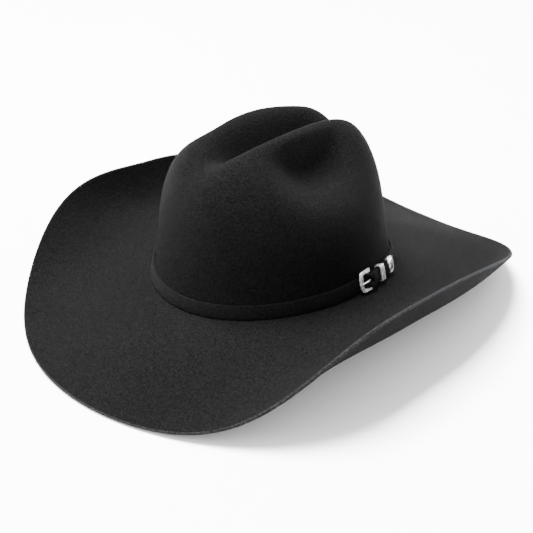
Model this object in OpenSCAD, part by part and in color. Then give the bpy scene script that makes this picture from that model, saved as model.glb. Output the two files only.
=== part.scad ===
// Felt western hat: creased crown, brim rolled up at both sides, belt with a
// three piece buckle set, leather sweatband and two panel satin liner.
// Units are millimetres. +Z is up, the front of the hat faces -Y, the wearer's
// left is +X, and the hat rests on its brim on the plane z = 0.

/* [Felt] */
// outer half width of the crown at the brim break
crown_a = 88.2; // [84:0.1:92]
// outer half length of the crown at the brim break
crown_b = 103.9; // [99:0.1:108]
// felt thickness
felt_t = 2.6; // [2:0.1:3]
// height of the open crown above the brim break
crown_h = 120; // [115:1:127]
// half width over the rolled sides
brim_w = 159; // [154:1:164]
// half length from front edge to back edge
brim_l = 200.5; // [196:0.5:206]
// height of the brim edge at the sides
side_rise = 67; // [60:1:74]
// depth of the centre crease
crease_depth = 31; // [24:1:35]
// how far each side dent goes in
dent_depth = 21; // [14:0.5:23]

/* [Belt] */
// width of the belt
belt_w = 10.6; // [9.8:0.1:10.8]
// thickness of the belt round the crown
belt_t = 1.8; // [1.4:0.1:1.9]
// overall height of the buckle
buckle_h = 17; // [16.6:0.1:17.4]
// distance from the heel bar to the outer bar of the buckle
buckle_reach = 9.8; // [9.6:0.1:10]

/* [Inside] */
// width of the leather sweatband
sweat_w = 38; // [34:1:40]
// thickness of the leather sweatband
sweat_t = 1.0; // [0.8:0.1:1]
// radius of the reed in the edge of the sweatband
reed_r = 0.8; // [0.6:0.1:0.8]
// number of stitches along the sweatband
stitch_n = 60; // [36:6:72]

/* [Hidden] */
$fn = 40;

// where the centre of the crown stands over the middle of the whole hat
seat = [0, 4.4, 0.75];

// brim break: mean height, side to front swing, front to back fall
break_z = 29.7;
break_swing = 3.85;
break_fall = -3.6;

// brim outline: squareness and how the shape changes from front to back
edge_n = 2.83;
edge_n_back = 0.79;
edge_taper = -0.14;
edge_y = -4.4;
side_fall = -25.7;
end_z = 2;
roll = 3.33;
roll_back = -1.95;
roll_soft = 0.003;

// slopes of the brim in degrees where it leaves the crown and at its edge
leave_side = -9;
leave_end = -6;
edge_side = 72;
edge_front = -9.8;
edge_back = -16.3;
leave_reach = 42;
edge_reach = 42;

// crown: squareness, taper to each side and end, and the slopes along its top
crown_n = 4.8;
taper_x = 0.255;
taper_x_pow = 2.45;
taper_y = 0.10;
taper_y_pow = 1.3;
lean_y = -2;
top_slope = 0.01;
top_bow = 5;

// flare of the wall where it turns into the brim
flare = 6.2;
flare_back = 2;
flare_h = 0.14;

// crease: width, sharpness, middle, and reach to the front and back
crease_w = 15.5;
crease_pow = 2.1;
crease_y = -5;
crease_front = 56;
crease_back = 78;
crease_narrow = -0.0009;

// side dents: middle, length, place and height on the profile, and how deep down
dent_y = 0;
dent_len = 42;
dent_at = 0.51;
dent_tall = 0.15;
dent_down = 16;
dent_square = 2.6;
dent_round = 2.2;

// grid of the felt surface
NA = 60;
brim_rings = 8;
wall_rings = 10;
wall_crowd = 1.35;
wall_top = 0.9;
top_rings = 9;
last_k = 0.05;

// stations round the crown, closer together at the front, back and sides
crowd = 0.55;
function station(q) = q - crowd * sin(4 * q) * 180 / PI / 4;
TS = [for (i = [0 : NA - 1]) station(360 * i / NA)];

function spow(v, p) = sign(v) * pow(abs(v), p);
function unit(v) = v / norm(v);
function break_h(t) = break_z + break_swing * cos(2 * t) + break_fall * sin(t);
function side_weight(t) =
    pow(cos(t) * cos(t) + roll_soft, (roll + roll_back * sin(t)) / 2);
function mix(p, q, w) = p + (q - p) * w;

// plan normal of the crown oval
function out_dir(t) = unit([cos(t) / crown_a, sin(t) / crown_b, 0]);

function edge_pt(t) =
    let (q = 2 / (edge_n + edge_n_back * sin(t)))
    [brim_w * (1 + edge_taper * sin(t)) * spow(cos(t), q),
     brim_l * spow(sin(t), q) + edge_y,
     mix(end_z, side_rise + side_fall * sin(t), side_weight(t))];

// a point of the upper face of the brim, u runs from the break to the edge
function brim_pt(t, u) =
    let (p0 = [crown_a * cos(t), crown_b * sin(t), break_h(t)],
         p3 = edge_pt(t),
         w = side_weight(t),
         leave = mix(leave_end, leave_side, w),
         ends = mix(edge_front, edge_back, (1 + sin(t)) / 2),
         slope = mix(ends, edge_side, w),
         n = out_dir(t),
         d = unit([p3[0] - p0[0], p3[1] - p0[1], 0]),
         p1 = p0 + leave_reach * (n * cos(leave) + [0, 0, sin(leave)]),
         p2 = p3 - edge_reach * (d * cos(slope) + [0, 0, sin(slope)]))
    pow(1 - u, 3) * p0 + 3 * pow(1 - u, 2) * u * p1 + 3 * (1 - u) * u * u * p2
        + pow(u, 3) * p3 + seat;

function close_k(h) = pow(1 - pow(h, crown_n), 1 / crown_n);

// a point of the outer face of the crown, h is height and k is spread
function crown_pt(t, h, k) =
    let (y = crown_b * k * (1 - taper_y * pow(h, taper_y_pow)) * sin(t) + lean_y * h,
         x0 = crown_a * k * (1 - taper_x * pow(h, taper_x_pow)) * cos(t),
         top = break_z + crown_h + top_slope * y - top_bow * pow(y / 100, 2),
         off = y - crease_y,
         window = 1 / (1 + pow(abs(off) / (off < 0 ? crease_front : crease_back), 4)),
         wide = crease_w * (1 + crease_narrow * y),
         crease = crease_depth * exp(-pow(abs(x0) / wide, crease_pow)) * window,
         q = (h + 1 - k) / 2,
         dent = exp(-pow(abs(y - dent_y) / dent_len, dent_square)
             - pow(abs(q - dent_at) / dent_tall, dent_round)) * min(1, abs(x0) / 15),
         x = x0 - sign(x0) * dent_depth * dent,
         pull = (flare + flare_back * sin(t)) * (1 - exp(-h / flare_h)) * k)
    [x, y, break_h(t) * (1 - h) + (top - crease) * h - dent_down * dent]
        - out_dir(t) * pull + seat;

RINGS = concat(
    [for (j = [0 : brim_rings - 1]) [for (t = TS) brim_pt(t, 1 - j / brim_rings)]],
    [for (j = [0 : wall_rings])
        let (h = wall_top * pow(j / wall_rings, wall_crowd))
        [for (t = TS) crown_pt(t, h, close_k(h))]],
    [for (j = [1 : top_rings])
        let (k = mix(close_k(wall_top), last_k, j / top_rings))
        [for (t = TS) crown_pt(t, close_k(k), k)]]);
NR = len(RINGS);
BREAK = brim_rings;
WALL_END = brim_rings + wall_rings;
APEX = crown_pt(0, 1, 0);

function ring_pt(j, i) = RINGS[j][(i + NA) % NA];
function face_dir(j, i) =
    unit(cross(ring_pt(j, i + 1) - ring_pt(j, i - 1),
        ring_pt(min(j + 1, NR - 1), i) - ring_pt(max(j - 1, 0), i)));
// the break is a corner, so its offset runs along the diagonal
break_miter = 1.15;
function inset(j, i, d) =
    ring_pt(j, i) - face_dir(j, i) * d * (j == BREAK ? break_miter : 1);

// closed skin between two depths below the outer face, rings j0 to j1
module skin(j0, j1, d0, d1, cap) {
    rows = j1 - j0 + 1;
    outer = [for (j = [j0 : j1]) for (i = [0 : NA - 1]) inset(j, i, d0)];
    inner = [for (j = [j0 : j1]) for (i = [0 : NA - 1]) inset(j, i, d1)];
    m = rows * NA;
    tips = cap ? [APEX - [0, 0, d0], APEX - [0, 0, d1]] : [];
    walls = [for (j = [0 : rows - 2]) for (i = [0 : NA - 1])
        let (p = j * NA + i, q = j * NA + (i + 1) % NA)
        each [[p, p + NA, q], [q, p + NA, q + NA],
              [m + p, m + q, m + p + NA], [m + q, m + q + NA, m + p + NA]]];
    low = [for (i = [0 : NA - 1])
        let (p = i, q = (i + 1) % NA)
        each [[p, q, m + p], [q, m + q, m + p]]];
    r = (rows - 1) * NA;
    high = cap
        ? [for (i = [0 : NA - 1])
            let (p = r + i, q = r + (i + 1) % NA)
            each [[p, 2 * m, q], [m + p, m + q, 2 * m + 1]]]
        : [for (i = [0 : NA - 1])
            let (p = r + i, q = r + (i + 1) % NA)
            each [[p, m + p, q], [q, m + p, m + q]]];
    polyhedron(points = concat(outer, inner, tips), faces = concat(walls, low, high));
}

// wall of the crown near the break: height z, distance n outside the felt
function wall_h(t, z) = z / (break_z + crown_h - break_h(t));
function wall_pt(t, z, n) =
    let (h = wall_h(t, max(z, 0)))
    crown_pt(t, h, close_k(h)) + [0, 0, min(z, 0)] + out_dir(t) * n;

// closed hoop round the crown from a list of [z, n] section corners
module hoop(section) {
    c = len(section);
    pts = [for (t = TS) for (s = section) wall_pt(t, s[0], s[1])];
    faces = [for (i = [0 : NA - 1]) for (s = [0 : c - 1])
        let (p = i * c + s, q = i * c + (s + 1) % c,
             p2 = ((i + 1) % NA) * c + s, q2 = ((i + 1) % NA) * c + (s + 1) % c)
        each [[p, p2, q], [q, p2, q2]]];
    polyhedron(points = pts, faces = faces);
}

// frame on the belt at station t: X outward, Y along the belt, Z across it
belt_z = 0.3;
// the belt rides a little higher where it carries the buckle set
belt_rise = 2;
rise_at = 19;
rise_width = 0.09;
function belt_low(t) =
    belt_z + belt_rise * exp(-pow((1 - cos(t - rise_at)) / rise_width, 2));
function belt_out(t) = atan2(out_dir(t)[1], out_dir(t)[0]);
function run(t) = norm([crown_a * sin(t), crown_b * cos(t)]) * PI / 180;
function belt_slope(t) =
    atan((break_h(t + 1) - break_h(t - 1)) / (2 * run(t)));
function lean_of(low, high) =
    atan(norm([high[0] - low[0], high[1] - low[1]]) / (high[2] - low[2]));

// both edges of the belt on the wall, and a point s across it and n above it
function belt_ends(t) = let (z = belt_low(t)) [wall_pt(t, z, 0), wall_pt(t, z + belt_w, 0)];
function belt_lean(t) = let (e = belt_ends(t)) lean_of(e[0], e[1]);
function belt_pt(t, s, n) =
    let (e = belt_ends(t), a = belt_lean(t), o = out_dir(t), up = [0, 0, 1])
    (e[0] + e[1]) / 2 + (o * cos(a) + up * sin(a)) * n + (up * cos(a) - o * sin(a)) * s;

// frame standing on the wall: X outward, Y round the crown, Z up the wall
module wall_frame(p, t, lean) {
    translate(p)
        rotate([0, 0, belt_out(t)])
            rotate([belt_slope(t), 0, 0])
                rotate([0, -lean, 0])
                    children();
}

module on_wall(t, z, n, half) {
    wall_frame(wall_pt(t, z, n), t, lean_of(wall_pt(t, z - half, 0), wall_pt(t, z + half, 0)))
        children();
}

module on_belt(t) {
    wall_frame(belt_pt(t, 0, 0), t, belt_lean(t))
        children();
}

// stations of the buckle set on the wearer's left
heel_at = 7.9;
keeper_at = 17;
tip_at = 27.6;
belt_gap = 0.2;
heel_n = 2.6;
heel_r = 0.9;
fold_in = 1.15;
fold_out = 2.3;
billet_t = 1.3;
fold_t = fold_out - fold_in;

// inner face of the belt at [station, distance, thickness], heel end first
HEEL_PATH = [[9.3, 3.75, 1.1], [10.1, 3.7, 1.1], [11.9, 2.4, 1.2], [13.3, 1.35, 1.2],
    [17, 1.2, 1.25], [21, 1.15, 1.25], [26, 0.6, 1.4], [31, 0.3, belt_t]];
BILLET_PATH = [[352, 0.3, belt_t], [357, 0.25, 1.5], [361.3, 0.25, 1.4], [363.4, 0.6, 1.4],
    [365.9, 3.4, 1.3], [367.3, 5.1, billet_t], [369.9, 5.2, billet_t], [371.7, 4.3, billet_t],
    [373.4, 3.0, billet_t], [377, 2.85, billet_t], [381, 2.85, billet_t],
    [384, 3.15, 1.2], [389.6, 3.2, 1.2]];
ROUND = [for (i = [0 : 54]) let (q = 36 + 5.8 * i) [q, 0.3, belt_t]];
BELT = concat(HEEL_PATH, ROUND, BILLET_PATH);

module belt_ribbon(path) {
    m = len(path);
    pts = [for (s = path) each [
        belt_pt(s[0], -belt_w / 2, s[1] + s[2]), belt_pt(s[0], -belt_w / 2, s[1]),
        belt_pt(s[0], belt_w / 2, s[1]), belt_pt(s[0], belt_w / 2, s[1] + s[2])]];
    sides = [for (i = [0 : m - 2]) for (c = [0 : 3])
        let (p = 4 * i + c, q = 4 * i + (c + 1) % 4)
        each [[p, p + 4, q], [q, p + 4, q + 4]]];
    e = 4 * (m - 1);
    ends = [[0, 1, 2], [0, 2, 3], [e, e + 2, e + 1], [e, e + 3, e + 2]];
    polyhedron(points = pts, faces = concat(sides, ends));
}

// plate lying against the belt, thickness along X from x0 to x1
module plate(x0, x1) {
    translate([x0, 0, 0])
        rotate([90, 0, 90])
            linear_extrude(height = x1 - x0)
                children();
}

// rectangle with round corners, exact arcs
module round_rect(x0, x1, y, r) {
    translate([x0 + r, -y])
        square([x1 - x0 - 2 * r, 2 * y]);
    translate([x0, -y + r])
        square([x1 - x0, 2 * (y - r)]);
    for (cx = [x0 + r, x1 - r])
        for (cy = [-y + r, y - r])
            translate([cx, cy])
                circle(r);
}

module felt_body() {
    color("#1b1b1d")
        skin(0, NR - 1, 0, felt_t, true);
}

sweat_n = -felt_t - 1.0;
SWEAT_STEPS = [0, 0.12, 0.25, 0.45, 0.7, 1];
module sweatband() {
    color("#241d19")
        hoop(concat([[-1.7, sweat_n], [-1.7, sweat_n - sweat_t]],
            [for (f = SWEAT_STEPS) [f * sweat_w, sweat_n - sweat_t]],
            [for (i = [len(SWEAT_STEPS) - 1 : -1 : 0]) [SWEAT_STEPS[i] * sweat_w, sweat_n]]));
}

module sweatband_reed() {
    sides = 8;
    reed_n = sweat_n - sweat_t / 2;
    color("#2b2422")
        hoop([for (i = [0 : sides - 1])
            [-2.0 - reed_r + reed_r * sin(360 * i / sides),
             reed_n - reed_r * cos(360 * i / sides)]]);
}

tape_t = 0.35;
module reed_tape() {
    tape_n = -felt_t - 0.42;
    color("#17171a")
        hoop([[0.5, tape_n], [0.5, tape_n - tape_t], [5, tape_n - tape_t],
            [10, tape_n - tape_t], [10, tape_n], [5, tape_n]]);
}

// straight thread on the inner face of the sweatband
thread_r = 0.25;
thread_n = sweat_n - sweat_t - thread_r - 0.3;
module thread(t, z, len, turn) {
    on_wall(t, z, thread_n, 1)
        rotate([90 + turn, 0, 0])
            cylinder(h = len, r = thread_r, center = true, $fn = 16);
}

module sweatband_stitching() {
    stitch_len = 3.4;
    color("#0e0e10")
        for (i = [0 : stitch_n - 1])
            thread(station(360 * i / stitch_n), 2.2, stitch_len, 0);
}

module seam_stitches() {
    count = 7;
    color("#0e0e10")
        for (i = [0 : count - 1])
            thread(90, 12 + 3.6 * i, 2.4, i % 2 == 0 ? 35 : -35);
}

// ribbon bow at the back seam
module bow() {
    bow_n = sweat_n - sweat_t - 1.0;
    bow_t = 0.5;
    loop = 8.5;
    color("#111114")
        on_wall(90, 6.4, bow_n, 4) {
            translate([-1.2, -1.4, -1.5])
                cube([1.2, 2.8, 3]);
            for (side = [-1, 1])
                plate(-bow_t - 0.25, -0.25)
                    polygon([[0, -0.8], [side * loop, -2.4], [side * loop, 2.4], [0, 0.8]]);
        }
}

module liner_wall() {
    color("#26262b")
        skin(BREAK + 2, WALL_END, felt_t + 0.25, felt_t + 0.6, false);
}

module liner_tip() {
    color("#2c2c32")
        skin(WALL_END + 1, NR - 1, felt_t + 0.3, felt_t + 0.7, true);
}

module hatband_strap() {
    slot = 1.35;
    color("#1e1e20") {
        difference() {
            belt_ribbon(BELT);
            on_belt(heel_at)
                translate([-1, -buckle_reach + bar_half, -slot])
                    cube([10, buckle_reach + 0.3, 2 * slot]);
        }
        on_belt(heel_at)
            for (side = [-1, 1])
                translate([heel_n, 0, side * (belt_w / 4 + slot / 2) ])
                    heel_fold(belt_w / 2 - slot);
    }
}

// half loop of the belt round the heel bar with both its flat layers
module heel_fold(w) {
    tail = 6.2;
    difference() {
        union() {
            cylinder(h = w, r = fold_out, center = true);
            translate([fold_in, 0, -w / 2])
                cube([fold_t, 4.2, w]);
            translate([-fold_out, 0, -w / 2])
                cube([fold_t, tail, w]);
        }
        cylinder(h = w + 1, r = fold_in, center = true);
        translate([-fold_in, 0, -w / 2 - 0.5])
            cube([2 * fold_in, fold_out + 1, w + 1]);
    }
}

frame_n0 = 2.35;
frame_n1 = 4.2;
// the frame stands this much higher than the middle of the belt
frame_z = 0.9;
bar_half = 1.5;
module buckle_frame() {
    open_h = belt_w / 2 + 0.5;
    color("#c9c7c0")
        on_belt(heel_at) {
            difference() {
                translate([0, 0, frame_z])
                    plate(frame_n0, frame_n1)
                        round_rect(-buckle_reach - bar_half, 1.7, buckle_h / 2, 3.4);
                translate([frame_n0 - 1, -buckle_reach + bar_half, -open_h])
                    cube([4.1, buckle_reach + 3, 2 * open_h]);
            }
            translate([heel_n, 0, 0])
                cylinder(h = 2 * open_h + 2, r = heel_r, center = true);
        }
}

module buckle_prong() {
    ring_out = 1.75;
    ring_in = heel_r + 0.06;
    wide = 1.1;
    rest_n = frame_n1 + 0.06;
    reach = buckle_reach + 0.9;
    color("#d2d0c8")
        on_belt(heel_at) {
            difference() {
                union() {
                    translate([heel_n, 0, 0])
                        cylinder(h = 2 * wide, r = ring_out, center = true);
                    translate([rest_n, -reach, -wide])
                        cube([1.1, reach - 1.6, 2 * wide]);
                    translate([heel_n + 0.9, -3.2, -wide])
                        cube([rest_n - heel_n - 0.9 + 0.3, 2.6, 2 * wide]);
                }
                translate([heel_n, 0, 0])
                    cylinder(h = 3 * wide, r = ring_in, center = true);
            }
        }
}

keeper_w = 5.6;
module keeper_loop() {
    back_n = 0.3;
    in_n0 = 0.8;
    in_n1 = 4.75;
    front_n = 5.8;
    in_h = belt_w / 2 + 0.4;
    out_h = in_h + 1.0;
    color("#cfcdc6")
        on_belt(keeper_at)
            difference() {
                translate([back_n, -keeper_w / 2, -out_h])
                    cube([front_n - back_n, keeper_w, 2 * out_h]);
                translate([in_n0, -keeper_w / 2 - 1, -in_h])
                    cube([in_n1 - in_n0, keeper_w + 2, 2 * in_h]);
            }
}

module strap_tip() {
    half = 5.4;
    wall = 0.4;
    color("#cfcdc6")
        on_belt(tip_at)
            difference() {
                plate(2.45, 5.3)
                    difference() {
                        round_rect(-half - 4, half, belt_w / 2 + 0.9, 3.2);
                        translate([-half - 5, -belt_w])
                            square([5, 2 * belt_w]);
                    }
                translate([2.8, -half - 1, -belt_w / 2 - wall])
                    cube([2.1, 2 * half, belt_w + 2 * wall]);
            }
}

felt_body();
sweatband();
sweatband_reed();
reed_tape();
sweatband_stitching();
seam_stitches();
bow();
liner_wall();
liner_tip();
hatband_strap();
buckle_frame();
buckle_prong();
keeper_loop();
strap_tip();
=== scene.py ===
import math
import bpy
import numpy as np
from mathutils import Matrix, Vector


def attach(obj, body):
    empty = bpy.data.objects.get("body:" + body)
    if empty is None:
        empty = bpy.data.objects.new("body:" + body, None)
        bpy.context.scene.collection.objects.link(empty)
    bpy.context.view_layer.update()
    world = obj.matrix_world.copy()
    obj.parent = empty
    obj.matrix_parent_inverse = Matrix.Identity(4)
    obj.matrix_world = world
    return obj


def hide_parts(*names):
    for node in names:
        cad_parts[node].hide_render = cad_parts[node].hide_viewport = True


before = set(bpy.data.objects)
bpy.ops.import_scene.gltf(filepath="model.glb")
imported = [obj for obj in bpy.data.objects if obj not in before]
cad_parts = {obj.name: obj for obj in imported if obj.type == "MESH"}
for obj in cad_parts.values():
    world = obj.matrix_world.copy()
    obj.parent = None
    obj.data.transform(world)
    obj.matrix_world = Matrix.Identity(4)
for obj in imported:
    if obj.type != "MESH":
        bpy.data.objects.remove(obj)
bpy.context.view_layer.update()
PI = math.pi
MM = 0.001

# ---------------------------------------------------------------- shape, mm
CROWN_A, CROWN_B, CROWN_H, FELT_T = 88.2, 103.9, 120.0, 2.6
BREAK_Z, BREAK_SWING, BREAK_FALL = 29.7, 3.85, 3.6
BRIM_W, BRIM_L, EDGE_Y = 159, 200.5, 4.4
END_Z, SIDE_RISE, SIDE_FALL = 2, 67, 25.7
LEAVE_END, LEAVE_SIDE, EDGE_FRONT, EDGE_BACK, EDGE_SIDE = -6, -9, -9.8, -16.3, 72
HANDLE = 42
CROWN_N, TAPER_X, TAPER_Y = 4.8, 0.255, 0.10
CREASE_D, CREASE_W, CREASE_Y, CREASE_FRONT, CREASE_BACK = 31, 15.5, -5, 56, 78
DENT_IN, DENT_DOWN, DENT_LEN, DENT_AT, DENT_TALL = 21, 16, 42, 0.51, 0.15
FLARE, FLARE_BACK, FLARE_H = 6.2, 2, 0.14
BELT_W, BELT_Z, BELT_RISE, RISE_AT = 10.6, 0.3, 2, 19
SEAT = np.array([0, 4.4, 0.75])


def spow(v, p):
    return np.sign(v) * np.abs(v) ** p


def break_h(t):
    return BREAK_Z + BREAK_SWING * np.cos(2 * t) - BREAK_FALL * np.sin(t)


def out_dir(t):
    x, y = np.cos(t) / CROWN_A, np.sin(t) / CROWN_B
    d = np.hypot(x, y)
    return np.stack([x / d, y / d, 0 * x], -1)


def side_weight(t):
    return (np.cos(t) ** 2 + 0.003) ** ((3.33 - 1.95 * np.sin(t)) / 2)


def mix(p, q, w):
    return p + (q - p) * w


def brim_pt(t, u):
    """Upper face of the brim; u is 0 at the crown and 1 at the edge."""
    c, s = np.cos(t), np.sin(t)
    w = side_weight(t)
    q = 2 / (2.83 + 0.79 * s)
    p3 = np.stack([BRIM_W * (1 - 0.14 * s) * spow(c, q), BRIM_L * spow(s, q) - EDGE_Y,
                   mix(END_Z, SIDE_RISE - SIDE_FALL * s, w)], -1)
    p0 = np.stack([CROWN_A * c, CROWN_B * s, break_h(t)], -1)
    leave = np.radians(mix(LEAVE_END, LEAVE_SIDE, w))[..., None]
    ends = mix(EDGE_FRONT, EDGE_BACK, (1 + s) / 2)
    slope = np.radians(mix(ends, EDGE_SIDE, w))[..., None]
    n = out_dir(t)
    d = p3 - p0
    d[..., 2] = 0
    d /= np.linalg.norm(d, axis=-1, keepdims=True)
    up = np.array([0, 0, 1.0])
    p1 = p0 + HANDLE * (n * np.cos(leave) + up * np.sin(leave))
    p2 = p3 - HANDLE * (d * np.cos(slope) + up * np.sin(slope))
    v = 1 - u
    return v ** 3 * p0 + 3 * v ** 2 * u * p1 + 3 * v * u * u * p2 + u ** 3 * p3 + SEAT


def close_k(h):
    return (1 - h ** CROWN_N) ** (1 / CROWN_N)


def crown_pt(t, h, k):
    """Outer face of the crown; h is height and k is spread, both 0 to 1."""
    t, h, k = np.broadcast_arrays(np.asarray(t, float), h, k)
    y = CROWN_B * k * (1 - TAPER_Y * h ** 1.3) * np.sin(t) - 2 * h
    x0 = CROWN_A * k * (1 - TAPER_X * h ** 2.45) * np.cos(t)
    top = BREAK_Z + CROWN_H + 0.01 * y - 5 * (y / 100) ** 2
    off = y - CREASE_Y
    window = 1 / (1 + (np.abs(off) / np.where(off < 0, CREASE_FRONT, CREASE_BACK)) ** 4)
    wide = CREASE_W * (1 - 0.0009 * y)
    crease = CREASE_D * np.exp(-(np.abs(x0) / wide) ** 2.1) * window
    q = (h + 1 - k) / 2
    dent = np.exp(-(np.abs(y) / DENT_LEN) ** 2.6 - (np.abs(q - DENT_AT) / DENT_TALL) ** 2.2)
    dent = dent * np.minimum(1, np.abs(x0) / 15)
    x = x0 - np.sign(x0) * DENT_IN * dent
    z = break_h(t) * (1 - h) + (top - crease) * h - DENT_DOWN * dent
    pull = (FLARE + FLARE_BACK * np.sin(t)) * (1 - np.exp(-h / FLARE_H)) * k
    return np.stack([x, y, z], -1) \
        - out_dir(t) * pull[..., None] + SEAT


def wall_pt(t, z, n):
    """A point z above the brim break, n outside the felt."""
    t = np.asarray(t, float)
    h = np.maximum(z, 0) / (BREAK_Z + CROWN_H - break_h(t))
    p = crown_pt(t, h, close_k(h)) + out_dir(t) * np.asarray(n, float)[..., None]
    p[..., 2] += np.minimum(z, 0)
    return p


def stations(count):
    q = np.arange(count) * 2 * PI / count
    return q - 0.55 * np.sin(4 * q) / 4


def belt_low(t):
    """Height of the belt's lower edge; it rides up where the buckle set is."""
    return BELT_Z + BELT_RISE * np.exp(-((1 - np.cos(t - math.radians(RISE_AT))) / 0.09) ** 2)


def belt_pt(t, s, n):
    """A point s across the belt and n above the wall under it."""
    t, s, n = np.broadcast_arrays(np.asarray(t, float), s, n)
    lo, hi = wall_pt(t, belt_low(t), 0), wall_pt(t, belt_low(t) + BELT_W, 0)
    a = np.arctan2(np.hypot(hi[..., 0] - lo[..., 0], hi[..., 1] - lo[..., 1]),
                   hi[..., 2] - lo[..., 2])[..., None]
    up = np.array([0, 0, 1.0])
    o = out_dir(t)
    return (lo + hi) / 2 + (o * np.cos(a) + up * np.sin(a)) * n[..., None] \
        + (up * np.cos(a) - o * np.sin(a)) * s[..., None]


def belt_frame(deg):
    """Rotation and origin on the belt: X outward, Y along it, Z across it."""
    t = math.radians(deg)
    o = out_dir(t)
    one = math.radians(1)
    run = math.hypot(CROWN_A * math.sin(t), CROWN_B * math.cos(t)) * PI / 180
    roll = math.atan((break_h(t + one) - break_h(t - one)) / (2 * run))
    org = belt_pt(t, 0, 0)
    x = belt_pt(t, 0, 1) - org
    yaw, lean = math.atan2(o[1], o[0]), -math.asin(x[2])
    cy, sy, cr, sr, cl, sl = (f(a) for a in (yaw, roll, lean) for f in (math.cos, math.sin))
    rz = np.array([[cy, -sy, 0], [sy, cy, 0], [0, 0, 1]])
    rx = np.array([[1, 0, 0], [0, cr, -sr], [0, sr, cr]])
    ry = np.array([[cl, 0, sl], [0, 1, 0], [-sl, 0, cl]])
    return rz @ rx @ ry, org


# ---------------------------------------------------------------- mesh tools
def make(name, verts, faces, mat, smooth=True):
    me = bpy.data.meshes.new(name)
    me.from_pydata((np.asarray(verts) * MM).tolist(), [], faces)
    me.validate()
    me.update()
    if smooth:
        me.polygons.foreach_set("use_smooth", [True] * len(me.polygons))
    ob = bpy.data.objects.new(name, me)
    bpy.context.scene.collection.objects.link(ob)
    me.materials.append(mat)
    return ob


def tube_faces(rows, cols, wrap_rows=False, wrap_cols=True, start=0):
    """Quads between rows of a grid; columns may close round."""
    out = []
    for j in range(rows if wrap_rows else rows - 1):
        j2 = (j + 1) % rows
        for i in range(cols if wrap_cols else cols - 1):
            i2 = (i + 1) % cols
            out.append((start + j * cols + i, start + j * cols + i2,
                        start + j2 * cols + i2, start + j2 * cols + i))
    return out


class Shape:
    """Collects several closed forms into one mesh."""

    def __init__(self):
        self.v, self.f = [], []

    def grid(self, pts, wrap_rows=False, wrap_cols=True, cap=False):
        """pts[row][col] is a 3-D point; cap closes the first and last row."""
        pts = np.asarray(pts, float)
        rows, cols = pts.shape[:2]
        s = len(self.v)
        self.v.extend(pts.reshape(-1, 3).tolist())
        self.f += tube_faces(rows, cols, wrap_rows, wrap_cols, s)
        if cap:
            self.f.append(tuple(s + i for i in range(cols))[::-1])
            self.f.append(tuple(s + (rows - 1) * cols + i for i in range(cols)))

    def ball(self, c, r, seg, rings):
        th = np.linspace(0, PI, rings + 1)
        ph = np.arange(seg) * 2 * PI / seg
        g = [[(c[0] + r * math.cos(a), c[1] + r * math.sin(a) * math.cos(b),
               c[2] + r * math.sin(a) * math.sin(b)) for b in ph] for a in th]
        self.grid(g)

    def rod(self, path, r, seg):
        """Round rod along points, radius a number or a list."""
        path = np.asarray(path, float)
        r = np.broadcast_to(np.asarray(r, float), (len(path),))
        tan = np.gradient(path, axis=0)
        tan /= np.linalg.norm(tan, axis=1, keepdims=True)
        ref = np.array([0, 0, 1.0]) if abs(tan[0][2]) < 0.9 else np.array([1.0, 0, 0])
        rows = []
        for p, t, rad in zip(path, tan, r):
            a = np.cross(ref, t)
            a /= np.linalg.norm(a)
            b = np.cross(t, a)
            rows.append([p + rad * (math.cos(q) * a + math.sin(q) * b)
                         for q in np.arange(seg) * 2 * PI / seg])
        self.grid(rows, cap=True)

    def place(self, rot, org):
        self.v = (np.asarray(self.v) @ rot.T + org).tolist()
        return self

    def done(self, name, mat, smooth=True):
        return make(name, self.v, self.f, mat, smooth)


def bevel(ob, width, seg):
    m = ob.modifiers.new("bevel", "BEVEL")
    m.width = width * MM
    m.segments = seg
    m.limit_method = "ANGLE"
    m.angle_limit = math.radians(35)
    return ob


# ---------------------------------------------------------------- materials
def material(name):
    m = bpy.data.materials.new(name)
    m.use_nodes = True
    nt = m.node_tree
    return m, nt, nt.nodes["Principled BSDF"]


def node(nt, kind, **vals):
    n = nt.nodes.new(kind)
    for k, v in vals.items():
        if k in n.inputs:
            n.inputs[k].default_value = v
        else:
            setattr(n, k, v)
    return n


def coords(nt):
    return node(nt, "ShaderNodeTexCoord").outputs["Object"]


def noise(nt, scale, detail=3.0, rough=0.5, src=None):
    n = node(nt, "ShaderNodeTexNoise", Scale=scale, Detail=detail, Roughness=rough)
    nt.links.new(src if src is not None else coords(nt), n.inputs["Vector"])
    return n.outputs["Fac"]


def ramp(nt, fac, stops):
    r = node(nt, "ShaderNodeValToRGB")
    el = r.color_ramp.elements
    while len(el) < len(stops):
        el.new(0.5)
    for e, (pos, col) in zip(el, stops):
        e.position = pos
        e.color = tuple(col) + (1,) if len(col) == 3 else tuple(col)
    nt.links.new(fac, r.inputs["Fac"])
    return r.outputs["Color"]


def bump(nt, height, dist, strength=1.0, normal=None):
    b = node(nt, "ShaderNodeBump", Strength=strength, Distance=dist)
    nt.links.new(height, b.inputs["Height"])
    if normal is not None:
        nt.links.new(normal, b.inputs["Normal"])
    return b.outputs["Normal"]


def blend(nt, fac, a, b, kind="MIX"):
    m = node(nt, "ShaderNodeMixRGB", blend_type=kind)
    for sock, v in ((m.inputs[0], fac), (m.inputs[1], a), (m.inputs[2], b)):
        if isinstance(v, float):
            sock.default_value = v
        elif isinstance(v, tuple):
            sock.default_value = v + (1,) if len(v) == 3 else v
        else:
            nt.links.new(v, sock)
    return m.outputs[0]


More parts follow.
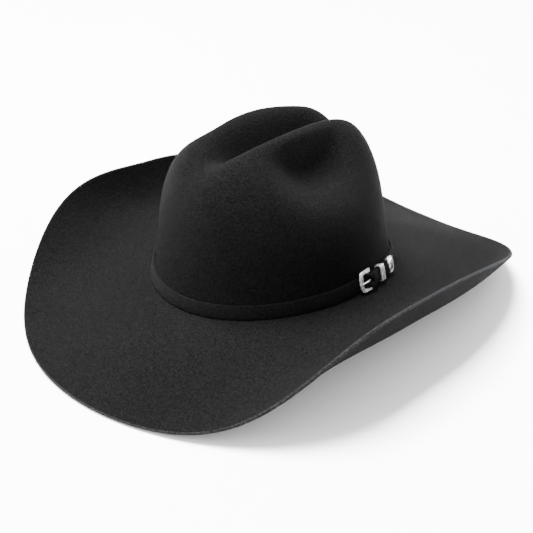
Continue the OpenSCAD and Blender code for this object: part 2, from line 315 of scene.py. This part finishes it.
def felt(name, lo, hi, sheen):
    m, nt, b = material(name)
    co = coords(nt)
    nap = noise(nt, 1500, 2, 0.6, co)
    tuft = noise(nt, 780, 2, 0.6, co)
    cloud = noise(nt, 22, 3, 0.5, co)
    c = ramp(nt, nap, [(0.42, lo), (0.6, hi)])
    c = blend(nt, 0.5, c, ramp(nt, tuft, [(0.42, lo), (0.62, tuple(1.2 * v for v in hi))]))
    c = blend(nt, 0.5, c, ramp(nt, cloud, [(0.3, (0.8, 0.8, 0.8)), (0.7, (1.15, 1.15, 1.15))]),
              "MULTIPLY")
    nt.links.new(c, b.inputs["Base Color"])
    b.inputs["Roughness"].default_value = 0.95
    b.inputs["Specular IOR Level"].default_value = 0.03
    b.inputs["Sheen Weight"].default_value = sheen
    b.inputs["Sheen Roughness"].default_value = 0.45
    b.inputs["Sheen Tint"].default_value = (0.85, 0.87, 0.92, 1)
    n = bump(nt, nap, 0.0008, 1.0)
    n = bump(nt, tuft, 0.0010, 0.9, n)
    nt.links.new(n, b.inputs["Normal"])
    return m


FELT = felt("felt_black", (0.0001, 0.0001, 0.0001), (0.0040, 0.0040, 0.0042), 0.003)
BELT = felt("felt_belt", (0.0002, 0.0002, 0.0002), (0.0040, 0.0040, 0.0042), 0.010)
# The raw edge is given a lighter felt colour than the shell: a painted highlight along the brim edge.
EDGE_HIGHLIGHT = felt("felt_raw_edge_painted_highlight", (0.001, 0.001, 0.001), (0.014, 0.014, 0.0145), 0.03)


def leather():
    m, nt, b = material("sweatband_leather")
    co = coords(nt)
    v = node(nt, "ShaderNodeTexVoronoi", Scale=900.0)
    nt.links.new(co, v.inputs["Vector"])
    mottled = noise(nt, 60, 4, 0.6, co)
    c = ramp(nt, mottled, [(0.3, (0.022, 0.016, 0.013)), (0.7, (0.05, 0.036, 0.029))])
    nt.links.new(c, b.inputs["Base Color"])
    b.inputs["Roughness"].default_value = 0.48
    b.inputs["Specular IOR Level"].default_value = 0.4
    n = bump(nt, v.outputs["Distance"], 0.0002, 0.5)
    nt.links.new(bump(nt, mottled, 0.0004, 0.3, n), b.inputs["Normal"])
    return m


def woven(name, lo, hi, scale, rough, sheen, axis="Z"):
    m, nt, b = material(name)
    co = coords(nt)
    w = node(nt, "ShaderNodeTexWave", Scale=scale, Distortion=0.6, Detail=2.0)
    w.bands_direction = axis
    nt.links.new(co, w.inputs["Vector"])
    fine = noise(nt, 900, 3, 0.5, co)
    c = blend(nt, 0.4, ramp(nt, w.outputs["Fac"], [(0.2, lo), (0.8, hi)]),
              ramp(nt, fine, [(0.3, lo), (0.7, hi)]))
    nt.links.new(c, b.inputs["Base Color"])
    b.inputs["Roughness"].default_value = rough
    b.inputs["Sheen Weight"].default_value = sheen
    nt.links.new(bump(nt, w.outputs["Fac"], 0.00015, 0.6), b.inputs["Normal"])
    return m


def silver():
    m, nt, b = material("silver_engraved")
    co = coords(nt)
    warp = noise(nt, 260, 2, 0.5, co)
    w = node(nt, "ShaderNodeTexWave", Scale=330.0, Distortion=14.0, Detail=1.5)
    w.wave_type = "RINGS"
    nt.links.new(co, w.inputs["Vector"])
    w.inputs["Detail Scale"].default_value = 1.2
    cut = ramp(nt, w.outputs["Fac"], [(0.10, (0, 0, 0)), (0.30, (1, 1, 1))])
    tone = ramp(nt, warp, [(0.3, (0.74, 0.73, 0.70)), (0.7, (0.90, 0.89, 0.87))])
    c = blend(nt, cut, (0.10, 0.095, 0.09), tone)
    nt.links.new(c, b.inputs["Base Color"])
    b.inputs["Metallic"].default_value = 1.0
    r = ramp(nt, w.outputs["Fac"], [(0.1, (0.5, 0.5, 0.5)), (0.4, (0.16, 0.16, 0.16))])
    nt.links.new(r, b.inputs["Roughness"])
    nt.links.new(bump(nt, cut, 0.00018, 0.8), b.inputs["Normal"])
    return m


def bright():
    m, nt, b = material("silver_bright")
    co = coords(nt)
    worn = noise(nt, 350, 4, 0.6, co)
    nt.links.new(ramp(nt, worn, [(0.3, (0.82, 0.81, 0.78)), (0.7, (0.93, 0.92, 0.90))]),
                 b.inputs["Base Color"])
    b.inputs["Metallic"].default_value = 1.0
    nt.links.new(ramp(nt, worn, [(0.3, (0.12, 0.12, 0.12)), (0.7, (0.24, 0.24, 0.24))]),
                 b.inputs["Roughness"])
    nt.links.new(bump(nt, worn, 0.00004, 0.4), b.inputs["Normal"])
    return m


LEATHER = leather()
RIBBON = woven("ribbon_black", (0.006, 0.006, 0.007), (0.03, 0.03, 0.033), 1200, 0.5, 0.2)
SATIN = woven("satin_liner", (0.02, 0.02, 0.024), (0.05, 0.05, 0.058), 1500, 0.3, 0.25, "X")
THREAD = woven("thread_black", (0.008, 0.008, 0.009), (0.035, 0.035, 0.038), 2600, 0.6, 0.2)
SILVER = silver()
BRIGHT = bright()

# ---------------------------------------------------------------- felt shell
N = 288
BRIM_ROWS, BEND_ROWS, WALL_ROWS, TOP_ROWS, EDGE_ROWS = 44, 3, 46, 52, 5
WALL_TOP = 0.9
TS = stations(N)


def felt_rings():
    """Rings of the outer face from the brim edge over the break to the tip."""
    rings = [brim_pt(TS, u) for u in np.linspace(1, 0.016, BRIM_ROWS)]
    corner = crown_pt(TS, 0.0, 1.0)
    wall = [crown_pt(TS, h, close_k(h)) for h in WALL_TOP * np.linspace(0.016, 1, WALL_ROWS)]
    a, b = rings[-1], wall[0]
    rings += [(1 - s) ** 2 * a + 2 * s * (1 - s) * corner + s * s * b for s in (0.25, 0.5, 0.75)]
    rings += wall
    spread = np.linspace(close_k(WALL_TOP), 0.012, TOP_ROWS)
    rings += [crown_pt(TS, close_k(k), k) for k in spread[1:]]
    return np.array(rings)


RINGS = felt_rings()


def ring_dirs(g):
    du = np.roll(g, -1, 1) - np.roll(g, 1, 1)
    dv = np.gradient(g, axis=0)
    n = np.cross(du, dv)
    return n / np.maximum(np.linalg.norm(n, axis=-1, keepdims=True), 1e-9)


DIRS = ring_dirs(RINGS)


def felt_shell():
    outer = RINGS
    inner = RINGS - DIRS * FELT_T
    # a softly rounded raw edge: the first ring of each face draws back
    edge_out = outer[0] - outer[1]
    edge_out /= np.linalg.norm(edge_out, axis=-1, keepdims=True)
    edge = []
    for s in (0.92, 0.7, 0.5, 0.3, 0.08):
        back = 1 - math.sqrt(max(0, 1 - (2 * s - 1) ** 2))
        edge.append(outer[0] - DIRS[0] * FELT_T * s - edge_out * back * 0.9)
    rows = list(inner[::-1]) + edge + list(outer)
    rows[len(inner) - 1] = inner[0] - edge_out * 0.9
    rows[len(inner) + EDGE_ROWS] = outer[0] - edge_out * 0.9
    sh = Shape()
    sh.grid(rows, cap=True)
    ob = sh.done("felt_shell", FELT)
    # the raw-edge faces take the lighter felt, which is the painted highlight along the edge
    ob.data.materials.append(EDGE_HIGHLIGHT)
    for i in range((len(inner) - 1) * N, (len(inner) + EDGE_ROWS) * N):
        ob.data.polygons[i].material_index = 1
    return ob


shell = felt_shell()
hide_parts("felt_body")
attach(shell, "hat")

# ---------------------------------------------------------------- belt
HEEL, KEEPER, TIP = 7.9, 17, 27.6
HEEL_N, REACH, FRAME_Z = 2.6, 9.8, 0.9
PATH = [(9.3, 3.75, 1.1), (10.1, 3.7, 1.1), (11.9, 2.4, 1.2), (13.3, 1.35, 1.2), (17, 1.2, 1.25),
        (21, 1.15, 1.25), (26, 0.6, 1.4), (31, 0.3, 1.8), (349, 0.3, 1.8), (352, 0.3, 1.8),
        (357, 0.25, 1.5), (361.3, 0.25, 1.4), (363.4, 0.6, 1.4), (365.9, 3.4, 1.3), (367.3, 5.1, 1.3),
        (369.9, 5.2, 1.3), (371.7, 4.3, 1.3), (373.4, 3.0, 1.3), (377, 2.85, 1.3),
        (381, 2.85, 1.3), (384, 3.15, 1.2), (389.6, 3.2, 1.2)]


def belt_mesh():
    knots = np.array(PATH, float)
    deg = np.concatenate([np.arange(9.3, 36, 0.6), np.arange(36, 348, 1.5), np.arange(348, 389.7, 0.5)])
    n = np.interp(deg, knots[:, 0], knots[:, 1])
    th = np.interp(deg, knots[:, 0], knots[:, 2])
    for _ in range(2):
        n[1:-1] = 0.25 * n[:-2] + 0.5 * n[1:-1] + 0.25 * n[2:]
    half = BELT_W / 2
    rows = []
    for d, a, w in zip(deg, n, th):
        row = []
        round_r = min(0.75, 0.46 * w)
        for cz, cn, a0 in ((half, a + w, 90), (half, a, 180), (-half, a, 270), (-half, a + w, 0)):
            sz = -1 if cz > 0 else 1
            sn = -1 if cn > a + w / 2 else 1
            for k in range(4):
                q = math.radians(a0 - 90 + 30 * k)
                # corners turn from the outer face over the top to the inner face
                row.append((cz + sz * round_r + round_r * math.sin(q),
                            cn + sn * round_r + round_r * math.cos(q)))
        row = np.array(row)
        rows.append(belt_pt(math.radians(d), row[:, 0], row[:, 1]))
    sh = Shape()
    sh.grid(rows, cap=True)
    return sh.done("belt_band", BELT)


belt = belt_mesh()


def cut_slot(ob, rot, org, lo, hi):
    """Cuts a box given in a belt frame out of a mesh, at once."""
    s = Shape()
    x, y, z = zip(lo, hi)
    s.v = [(a, b, c) for a in x for b in y for c in z]
    s.f = [(0, 1, 3, 2), (4, 6, 7, 5), (0, 4, 5, 1), (2, 3, 7, 6), (0, 2, 6, 4), (1, 5, 7, 3)]
    tool = s.place(rot, org).done("cutter", BELT, False)
    m = ob.modifiers.new("slot", "BOOLEAN")
    m.operation = "DIFFERENCE"
    m.solver = "EXACT"
    m.object = tool
    dg = bpy.context.evaluated_depsgraph_get()
    me = bpy.data.meshes.new_from_object(ob.evaluated_get(dg))
    ob.modifiers.clear()
    ob.data = me
    bpy.data.objects.remove(tool)


RH, OH = belt_frame(HEEL)
cut_slot(belt, RH, OH, (-1, -REACH + 1.5, -1.35), (9, 1.8, 1.35))
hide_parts("hatband_strap")
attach(belt, "hat")


def heel_loop():
    """The belt's end folded round the heel bar, split for the prong."""
    sh = Shape()
    seg = 26
    for side in (-1, 1):
        z0, z1 = side * 1.4, side * 5.25
        path = [(2.3 - 0.575, 4.2)]
        path += [(2.3 - 0.575, 0.5)]
        path += [((1.725) * math.cos(a), (1.725) * math.sin(a))
                 for a in np.linspace(0, -PI, seg)]
        path += [(-1.725, 3.0), (-1.725, 6.1)]
        path = np.array(path)
        tan = np.gradient(path, axis=0)
        tan /= np.linalg.norm(tan, axis=1, keepdims=True)
        nor = np.stack([tan[:, 1], -tan[:, 0]], -1)
        rows = []
        for p, q in zip(path, nor):
            a, b = p + q * 0.56, p - q * 0.56
            rows.append([(a[0], a[1], z0), (a[0], a[1], z1), (b[0], b[1], z1), (b[0], b[1], z0)])
        g = np.array(rows)
        g[..., 0] += HEEL_N
        sh.grid(g, cap=True)
    return bevel(sh.place(RH, OH).done("belt_heel_loop", BELT), 0.2, 2)


loop = heel_loop()
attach(loop, "hat")


# ---------------------------------------------------------------- silver set
def sweep_bar(path, widths, thick, n0):
    """A flat bar with a domed face along (s, h) points, lying at height n0."""
    path = np.asarray(path, float)
    tan = np.gradient(path, axis=0)
    tan /= np.linalg.norm(tan, axis=1, keepdims=True)
    nor = np.stack([tan[:, 1], -tan[:, 0]], -1)
    prof = [(-1, 0), (-1, 0.45), (-0.86, 0.72), (-0.6, 0.8), (-0.42, 0.62), (-0.2, 0.9), (0, 1.0),
            (0.2, 0.9), (0.42, 0.62), (0.6, 0.8), (0.86, 0.72), (1, 0.45), (1, 0)]
    rows = []
    for p, q, w in zip(path, nor, widths):
        rows.append([(n0 + thick * b, p[0] + q[0] * a * w / 2, p[1] + q[1] * a * w / 2)
                     for a, b in prof])
    return rows


def rounded_u(s_out, s_in, half, r):
    """Centre line of a U that is open towards +s."""
    step = 0.35
    pts = [(s, -half) for s in np.arange(s_in, s_out + r, -step)]
    pts += [(s_out + r - r * math.sin(a), -half + r - r * math.cos(a))
            for a in np.linspace(0, PI / 2, 14)[:-1]]
    pts += [(s_out, h) for h in np.arange(-half + r, half - r, step)]
    pts += [(s_out + r - r * math.cos(a), half - r + r * math.sin(a))
            for a in np.linspace(0, PI / 2, 14)]
    pts += [(s, half) for s in np.arange(s_out + r + step, s_in + 0.01, step)]
    return np.array(pts)


def buckle():
    sh = Shape()
    half = 7.15
    u = rounded_u(-REACH, 1.3, half, 3.2)
    run = np.concatenate([[0], np.cumsum(np.linalg.norm(np.diff(u, axis=0), axis=1))])
    lob = np.abs(np.sin(run / run[-1] * PI * 8))
    widths = 2.55 + 0.5 * lob
    u[:, 1] += FRAME_Z
    sh.grid(sweep_bar(u, widths, 1.8, 2.36), wrap_cols=True, cap=True)
    # heel bar
    sh.rod([(HEEL_N, 0, FRAME_Z + h) for h in np.linspace(-half, half, 9)], 0.88, 14)
    # beaded edge on both sides of the bar
    tan = np.gradient(u, axis=0)
    tan /= np.linalg.norm(tan, axis=1, keepdims=True)
    nor = np.stack([tan[:, 1], -tan[:, 0]], -1)
    for off in (-1.1, 1.1):
        for q in np.arange(0.4, run[-1] - 0.3, 0.82):
            c = np.array([np.interp(q, run, u[:, k] + nor[:, k] * off) for k in (0, 1)])
            sh.ball((3.85, c[0], c[1]), 0.36, 8, 4)
    return sh.place(RH, OH).done("buckle_ring", SILVER)


def prong():
    sh = Shape()
    ring = 28
    r0, r1 = 0.98, 1.72
    rows = []
    for a in np.arange(ring) * 2 * PI / ring:
        rows.append([(HEEL_N + r * math.cos(a), r * math.sin(a), z)
                     for r, z in ((r0, -1.0), (r1, -1.0), (r1 + 0.06, 0), (r1, 1.0), (r0, 1.0))])
    sh.grid(rows, wrap_rows=True)
    s = np.array([-1.0, -1.6, -2.4, -3.5, -5.2, -7, -8.7, -9.7, -10.4, -10.9])
    n = np.array([3.4, 4.05, 4.6, 4.9, 5.0, 5.0, 4.95, 4.9, 4.8, 4.72])
    w = np.array([1.0, 1.05, 1.05, 1.0, 0.95, 0.9, 0.85, 0.8, 0.6, 0.3])
    t = np.array([0.4, 0.5, 0.55, 0.55, 0.55, 0.55, 0.55, 0.5, 0.42, 0.25])
    rows = []
    for i in range(len(s)):
        rows.append([(n[i] + t[i] * math.sin(a), s[i], w[i] * math.cos(a))
                     for a in np.arange(12) * 2 * PI / 12])
    sh.grid(rows, cap=True)
    return sh.place(RH, OH).done("prong_bar", BRIGHT)


def loop_keeper():
    """A rectangular loop, domed and beaded on its front face."""
    sh = Shape()
    half_w = 2.8
    n_in, n_out, h_in, h_out = (0.8, 4.75), (0.32, 5.6), 5.7, 6.7
    corner = []
    for cx, cz, a0 in ((n_out[1] - 1.2, h_out - 1.4, 0), (n_out[0] + 0.6, h_out - 0.9, 90),
                       (n_out[0] + 0.6, -h_out + 0.9, 180), (n_out[1] - 1.2, -h_out + 1.4, 270)):
        r = 1.3 if cx > 2 else 0.55
        for k in range(6):
            a = math.radians(a0 + 18 * k)
            corner.append((cx + r * math.cos(a), cz + r * math.sin(a)))
    inner = []
    for cx, cz, a0 in ((n_in[1] - 0.4, h_in - 0.4, 0), (n_in[0] + 0.3, h_in - 0.3, 90),
                       (n_in[0] + 0.3, -h_in + 0.3, 180), (n_in[1] - 0.4, -h_in + 0.4, 270)):
        for k in range(6):
            a = math.radians(a0 + 18 * k)
            inner.append((cx + 0.3 * math.cos(a), cz + 0.3 * math.sin(a)))
    rows = []
    for y, grow in ((-half_w, -0.25), (-half_w + 0.3, 0.0), (-1.5, 0.12), (0, 0.3), (1.5, 0.12),
                    (half_w - 0.3, 0.0), (half_w, -0.25)):
        rows.append([(a + (grow if a > 3 else 0), y, b) for a, b in corner])
    for y in (half_w, -half_w):
        rows.append([(a, y, b) for a, b in inner])
    sh.grid(rows, wrap_rows=True)
    for y in (-2.2, 2.2):
        for h in np.arange(-5.7, 5.8, 0.84):
            sh.ball((5.62, y, h), 0.38, 8, 4)
    rk, ok = belt_frame(KEEPER)
    return sh.place(rk, ok).done("keeper_band", SILVER)


def end_tip():
    """Metal tip over the free end of the belt, rounded end towards +s."""
    sh = Shape()
    half, end, nose = 6.15, 5.4, 4.2
    side = np.linspace(-end, end - nose, 9)
    arc = [(end - nose + nose * math.cos(a) ** 0.9, half * math.sin(a))
           for a in np.linspace(PI / 2, -PI / 2, 23)[1:-1]]
    ring = np.array([(s, half) for s in side] + arc + [(s, -half) for s in side[::-1]])
    rows = []
    for n, k in ((2.5, 0.97), (2.5, 1.0), (4.6, 1.0), (4.95, 0.965), (4.92, 0.86), (4.8, 0.8),
                 (5.02, 0.72), (5.15, 0.4), (5.18, 0.05)):
        rows.append([(n, a * k, b * k) for a, b in ring])
    sh.grid(rows, cap=True)
    for a, b in ring[::2]:
        sh.ball((4.86, a * 0.915, b * 0.915), 0.34, 8, 4)
    rt, ot = belt_frame(TIP)
    return sh.place(rt, ot).done("tip_cap", SILVER)


for ob, cad, body in ((buckle(), "buckle_frame", "buckle"), (prong(), "buckle_prong", "prong"),
                      (loop_keeper(), "keeper_loop", "keeper"), (end_tip(), "strap_tip", "hat")):
    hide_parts(cad)
    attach(ob, body)

# ---------------------------------------------------------------- inside
SW_N = -FELT_T - 1.0


def hoop(name, profile, mat):
    """Closed band round the opening; profile is a list of (z, n)."""
    prof = np.array(profile, float)
    rows = []
    for t in TS:
        rows.append(wall_pt(np.full(len(prof), t), prof[:, 0], prof[:, 1]))
    sh = Shape()
    sh.grid(rows, wrap_rows=True)
    return sh.done(name, mat)


def sweatband():
    zs = np.linspace(-1.6, 38, 24)
    bow_in = 0.35 * np.sin(np.clip((zs + 1.6) / 39.6, 0, 1) * PI)
    face = [(z, SW_N - 1.0 + 0.02 - b * 0.5) for z, b in zip(zs, bow_in)]
    back = [(z, SW_N + 0.0) for z in zs[::-1]]
    lip = [(38.35, SW_N - 0.75), (38.35, SW_N - 0.25)]
    return hoop("sweatband_skin", face + lip + back, LEATHER)


def reed():
    a = np.arange(14) * 2 * PI / 14
    r = 0.8
    return hoop("reed_roll", [(-2.0 - r + r * math.sin(q), SW_N - 0.5 - r * math.cos(q)) for q in a],
                LEATHER)


def tape():
    n = -FELT_T - 0.42
    return hoop("reed_ribbon", [(0.5, n), (0.5, n - 0.35), (5, n - 0.37), (10, n - 0.35), (10, n)], RIBBON)


def thread(sh, t, z, length, turn, n):
    yaw = math.atan2(*out_dir(t)[1::-1])
    c = wall_pt(t, z, n)
    along = np.array([-math.sin(yaw) * math.cos(turn), math.cos(yaw) * math.cos(turn), math.sin(turn)])
    inward = -out_dir(t)
    s = np.linspace(-1, 1, 7)
    pts = [c + along * length / 2 * q - inward * 0.22 * q * q for q in s]
    sh.rod(pts, 0.24 * np.sqrt(np.clip(1.05 - s ** 4, 0.2, 1)), 8)


def stitching():
    sh = Shape()
    st = stations(60 * 2)[1::2]
    for t in st:
        thread(sh, t, 2.2, 3.6, 0, SW_N - 1.3)
    return sh.done("sweatband_stitches", THREAD)


def back_seam():
    sh = Shape()
    for i in range(7):
        thread(sh, PI / 2, 12 + 3.6 * i, 2.6, math.radians(35 if i % 2 else -35), SW_N - 1.42)
    return sh.done("seam_zigzag", THREAD)


def bow():
    """Small ribbon bow: two flat flaring loops and a knot."""
    sh = Shape()
    c = wall_pt(PI / 2, 6.4, SW_N - 1.0 - 0.45)
    for side in (-1, 1):
        rows = []
        for s in np.linspace(0, 1, 15):
            x = side * (0.6 + 7.6 * math.sin(s * PI * 0.5) ** 1.1)
            w = 0.8 + 1.7 * math.sin(min(1, s * 1.05) * PI * 0.5)
            rows.append([(x, -0.05 - 0.18 * math.sin(s * PI), -w), (x, -0.05 - 0.18 * math.sin(s * PI), w),
                         (x, -0.36 - 0.18 * math.sin(s * PI), w), (x, -0.36 - 0.18 * math.sin(s * PI), -w)])
        sh.grid(rows, cap=True)
    rows = []
    for s in np.linspace(-1, 1, 9):
        r = 1.0 * math.sqrt(max(0.08, 1 - (s * 0.85) ** 2))
        rows.append([(s * 1.3, -0.55 + 0.5 * r * math.cos(a), 1.35 * r * math.sin(a))
                     for a in np.arange(12) * 2 * PI / 12])
    sh.grid(rows, cap=True)
    return sh.place(np.eye(3), c).done("ribbon_bow", RIBBON)


def liner(name, ring0, ring1, depth, thick, cap, mat):
    g = RINGS[ring0:ring1]
    d = DIRS[ring0:ring1]
    sh = Shape()
    outer = g - d * depth
    inner = g - d * (depth + thick)
    if cap:
        sh.grid(list(inner[::-1]) + list(outer), cap=True)
    else:
        sh.grid(list(inner) + list(outer[::-1]), wrap_rows=True)
    return sh.done(name, mat)


first_wall = BRIM_ROWS + BEND_ROWS
side_top = first_wall + WALL_ROWS - 1
inside = [
    (sweatband(), ("sweatband",), "sweatband_leather"),
    (reed(), ("sweatband_reed",), "reed"),
    (tape(), ("reed_tape",), "ribbon"),
    (stitching(), ("sweatband_stitching",), "thread"),
    (back_seam(), ("seam_stitches",), "thread"),
    (bow(), ("bow",), "ribbon"),
    (liner("liner_side", first_wall + 9, side_top, FELT_T + 0.25, 0.35, False, SATIN),
     ("liner_wall",), "satin"),
    (liner("liner_top", side_top + 2, len(RINGS), FELT_T + 0.3, 0.4, True, SATIN),
     ("liner_tip",), "satin"),
]
for ob, cad, sl in inside:
    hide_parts(*cad)
    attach(ob, "hat")

# ---------------------------------------------------------------- stage
def floor():
    m, nt, b = material("floor_pale")
    b.inputs["Roughness"].default_value = 0.9
    b.inputs["Specular IOR Level"].default_value = 0.05
    fine = noise(nt, 3.0, 2, 0.5)
    nt.links.new(ramp(nt, fine, [(0.3, (0.93, 0.93, 0.93)), (0.7, (0.95, 0.95, 0.95))]),
                 b.inputs["Base Color"])
    s, low = 6000.0, -0.3
    corners = [(-s, -s, low), (s, -s, low), (s, s, low), (-s, s, low)]
    ob = make("floor", corners, [(0, 1, 2, 3)], m, False)


floor()

world = bpy.data.worlds.new("studio")
bpy.context.scene.world = world
world.use_nodes = True
world.node_tree.nodes["Background"].inputs[0].default_value = (1, 1, 1, 1)
world.node_tree.nodes["Background"].inputs[1].default_value = 2.2


def area(name, loc, target, size, power):
    li = bpy.data.lights.new(name, "AREA")
    li.shape = "RECTANGLE"
    li.size = size
    li.size_y = size
    li.energy = power
    ob = bpy.data.objects.new(name, li)
    bpy.context.scene.collection.objects.link(ob)
    d = np.array(target, float) - np.array(loc, float)
    ob.rotation_euler = Vector(d).to_track_quat("-Z", "Y").to_euler()
    ob.location = loc


AZ, EL, DIST, LENS, SIDE, TZ = 47.08, 29.21, 0.7952, 66.05, -0.0072, 0.02292
ca, sa = math.cos(math.radians(AZ)), math.sin(math.radians(AZ))
ce, se = math.cos(math.radians(EL)), math.sin(math.radians(EL))
BACK = np.array([sa * ce, -ca * ce, se])
RIGHT = np.array([ca, sa, 0])
AIM = RIGHT * SIDE + np.array([0, 0.0044, TZ])


def toward(right, away, up):
    """A place given from the camera's side: right, away from it, and up."""
    ahead = np.array([-sa, ca, 0])
    return tuple(AIM + RIGHT * right + ahead * away + np.array([0, 0, up]))


area("key_top", toward(-0.7, 0.55, 2.7), toward(0, 0, 0.05), 1.4, 1050)
area("rim_right", toward(1.1, 0.9, 0.9), toward(0, 0, 0.1), 0.6, 4)
area("fill_left", toward(-1.2, -0.5, 0.8), toward(0, 0, 0.1), 0.8, 8)

cam = bpy.data.cameras.new("camera")
cam.sensor_width = 36
cam.lens = LENS
cam.clip_start = 0.01
cam_ob = bpy.data.objects.new("camera", cam)
bpy.context.scene.collection.objects.link(cam_ob)
up_v = np.cross(BACK, RIGHT)
cam_ob.matrix_world = Matrix.Translation(Vector(AIM + BACK * DIST)) @ Matrix(
    [[RIGHT[i], up_v[i], BACK[i]] for i in range(3)]).to_4x4()
bpy.context.scene.camera = cam_ob
